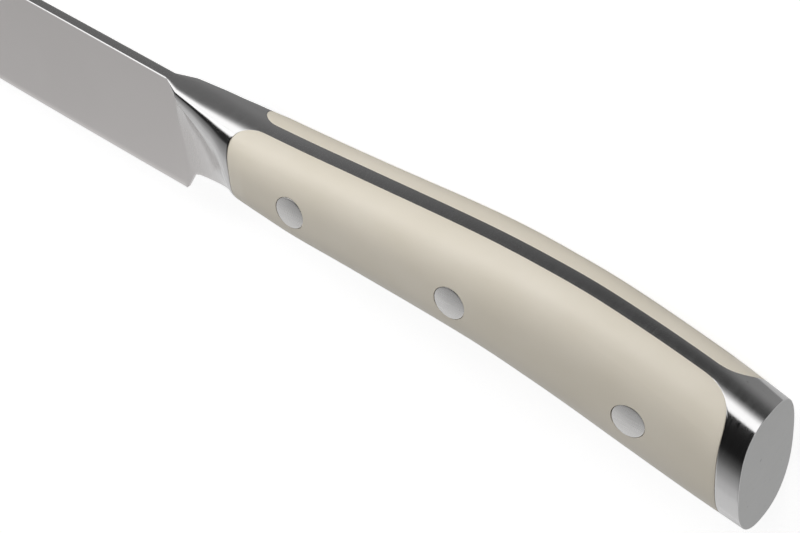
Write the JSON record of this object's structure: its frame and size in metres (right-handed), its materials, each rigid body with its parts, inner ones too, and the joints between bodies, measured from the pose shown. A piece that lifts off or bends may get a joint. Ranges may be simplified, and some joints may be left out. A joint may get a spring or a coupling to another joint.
{
  "type": "carving knife",
  "caption": "Kitchen carving knife: pointed blade, bolster, full tang and butt cap in one forging, with cream handle scales held by flush two-part rivets.",
  "frame": {"origin": "under the middle of the knife's box, on the surface that it lies on", "axes": "+X from the butt to the tip, +Z from the right side up to the left side, the spine towards -Y and the edge towards +Y"},
  "size_m": [0.2866, 0.0298, 0.0192],
  "materials": {
    "knife_steel": "stainless knife steel: satin ground blade sides and spine, finer polished bolster and butt cap",
    "cream_scale": "moulded cream plastic with a soft even sheen",
    "rivet_steel": "satin stainless steel, ground flush with the scale"
  },
  "bodies": {
    "root": {"blade_with_tang": "knife_steel", "left_scale": "cream_scale", "right_scale": "cream_scale", "front_rivet_post": "rivet_steel", "front_rivet_sleeve": "rivet_steel", "middle_rivet_post": "rivet_steel", "middle_rivet_sleeve": "rivet_steel", "rear_rivet_post": "rivet_steel", "rear_rivet_sleeve": "rivet_steel"}
  },
  "joints": []
}
